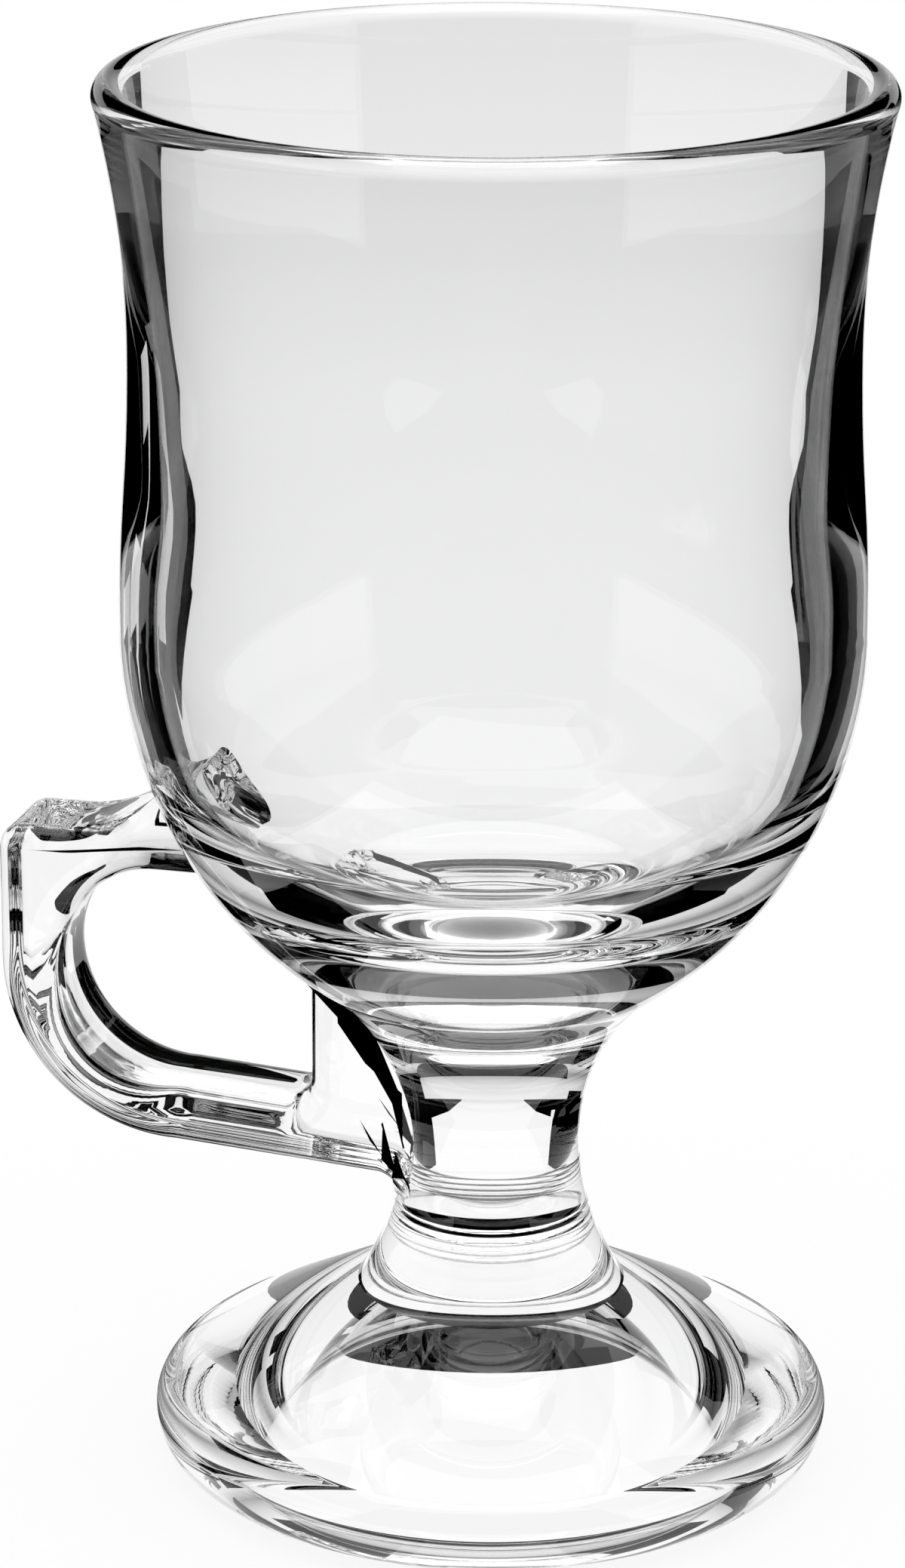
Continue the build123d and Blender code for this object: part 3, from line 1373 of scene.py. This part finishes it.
    def lay_table(self) -> None:
        """Lays the white table, which keeps a faint shadow. To the glass it glows in a painted pool of
        light round the mug.
        """
        half = self.table_half
        corners = ((-half, -half), (half, -half), (half, half), (-half, half))
        mesh = bpy.data.meshes.new("table")
        mesh.from_pydata([(x, y, -self.table_drop) for x, y in corners], [], [(0, 1, 2, 3)])
        table = put("table", mesh)
        white = bpy.data.materials.new("white table")
        white.use_nodes = True
        mesh.materials.append(white)
        tree = white.node_tree
        tree.nodes.clear()
        node, link = tree.nodes.new, tree.links.new
        place, reach = node("ShaderNodeNewGeometry"), node("ShaderNodeVectorMath")
        reach.operation = "LENGTH"
        # Painted pool of light: the glow that the glass sees dims with distance from the mug
        reading, grey = grey_ramp(tree, self.table)
        glow, paint = node("ShaderNodeEmission"), node("ShaderNodeBsdfDiffuse")
        end = node("ShaderNodeOutputMaterial")
        paint.inputs["Color"].default_value = WHITE
        shown, rays = self.camera_white(tree), node("ShaderNodeLightPath")
        share, look = node("ShaderNodeMath"), node("ShaderNodeMixShader")
        share.operation = "MULTIPLY"
        share.inputs[1].default_value = self.shade_share
        link(place.outputs["Position"], reach.inputs[0])
        link(reach.outputs["Value"], reading)
        link(grey, shown.inputs["A"])
        link(shown.outputs["Result"], glow.inputs["Color"])
        link(rays.outputs["Is Camera Ray"], share.inputs[0])
        link(share.outputs["Value"], look.inputs["Fac"])
        link(glow.outputs["Emission"], look.inputs[1])
        link(paint.outputs["BSDF"], look.inputs[2])
        link(look.outputs["Shader"], end.inputs["Surface"])

    def hang_lamp(self) -> None:
        """Hangs one wide soft lamp over the mug."""
        lamp = bpy.data.lights.new("soft lamp", "AREA")
        lamp.size = self.lamp_size
        lamp.energy = self.lamp_power
        put("soft lamp", lamp).location = (0.0, 0.0, self.lamp_height)

    def stand_cards(self, camera: bpy.types.Object) -> None:
        """Stands the black cards round the mug, on a turntable that faces the camera.

        Args:
            camera: Camera that the cards face. It doesn't see them: only the glass does.
        """
        turntable = put("card turntable", None)
        facing = turntable.constraints.new("COPY_ROTATION")
        facing.target = camera
        facing.use_x = facing.use_y = False
        black = bpy.data.materials.new("black card")
        black.use_nodes = True
        skin = black.node_tree.nodes["Principled BSDF"]
        skin.inputs["Base Color"].default_value = BLACK
        skin.inputs["Specular IOR Level"].default_value = 0.0
        for card in self.cards:
            mesh = bpy.data.meshes.new(card.name)
            mesh.from_pydata(list(card.corners), [], [tuple(range(len(card.corners)))])
            mesh.materials.append(black)
            stood = put(card.name, mesh)
            stood.parent = turntable
            stood.visible_camera = stood.visible_shadow = stood.visible_diffuse = False


@dataclass(frozen=True)
class PhotoCamera:
    """The photograph's camera, solved from the rim's and the foot's ellipses.

    Attributes:
        image_height: Height of the picture, in pixels.
        focal: Focal length, in pixels.
        distance: Distance from the mug's axis.
        height: Height over the table.
        pitch: Angle below the horizon.
        yaw: Turn away from the axis.
        roll: Turn about the line of sight.
        round_handle: Angle about the mug's axis from its front, where the handle points straight left.
        film: Height of the film, in millimetres.
        clip_start: Nearest distance that is drawn.
    """

    image_height: float = 2078.0
    focal: float = 7535.3
    distance: float = 0.526
    height: float = 0.24615
    pitch: float = math.radians(18.52)
    yaw: float = math.radians(-0.43)
    roll: float = math.radians(-0.09)
    round_handle: float = math.radians(14.0)
    film: float = 36.0
    clip_start: float = 0.01

    def build(self) -> bpy.types.Object:
        """Makes the camera.

        Returns:
            The camera object, set as the scene's camera.
        """
        lens = bpy.data.cameras.new("photo camera")
        lens.sensor_fit = "VERTICAL"
        lens.sensor_height = self.film
        lens.lens = self.focal * self.film / self.image_height
        lens.clip_start = self.clip_start
        camera = put("photo camera", lens)
        bpy.context.scene.camera = camera
        stand = Matrix.Translation((0.0, -self.distance, self.height))
        swing = Matrix.Rotation(-self.yaw, 4, "Z")
        tilt = Matrix.Rotation(math.pi / 2.0 - self.pitch, 4, "X")
        lean = Matrix.Rotation(-self.roll, 4, "Z")
        camera.matrix_world = Matrix.Rotation(self.round_handle, 4, "Z") @ stand @ swing @ tilt @ lean
        return camera


def main() -> None:
    """Builds the mug, the camera and the set, in that order."""
    logging.basicConfig(level=logging.INFO, format="%(name)s: %(message)s")
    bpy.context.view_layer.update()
    foot = Foot(ClearGlass(wave_height=0.02 * MM))
    stem = Stem(ClearGlass(wave_height=0.01 * MM))
    bowl = Bowl(ClearGlass(wave_height=0.015 * MM))
    handle = Handle(ClearGlass(wave_height=0.01 * MM), bowl, stem)
    foot.dress(foot.build())
    stem.dress(stem.build(), handle)
    bowl.dress(bowl.build(), handle)
    handle.dress(handle.build())
    Studio().build(PhotoCamera().build())


if __name__ == "__main__":
    main()
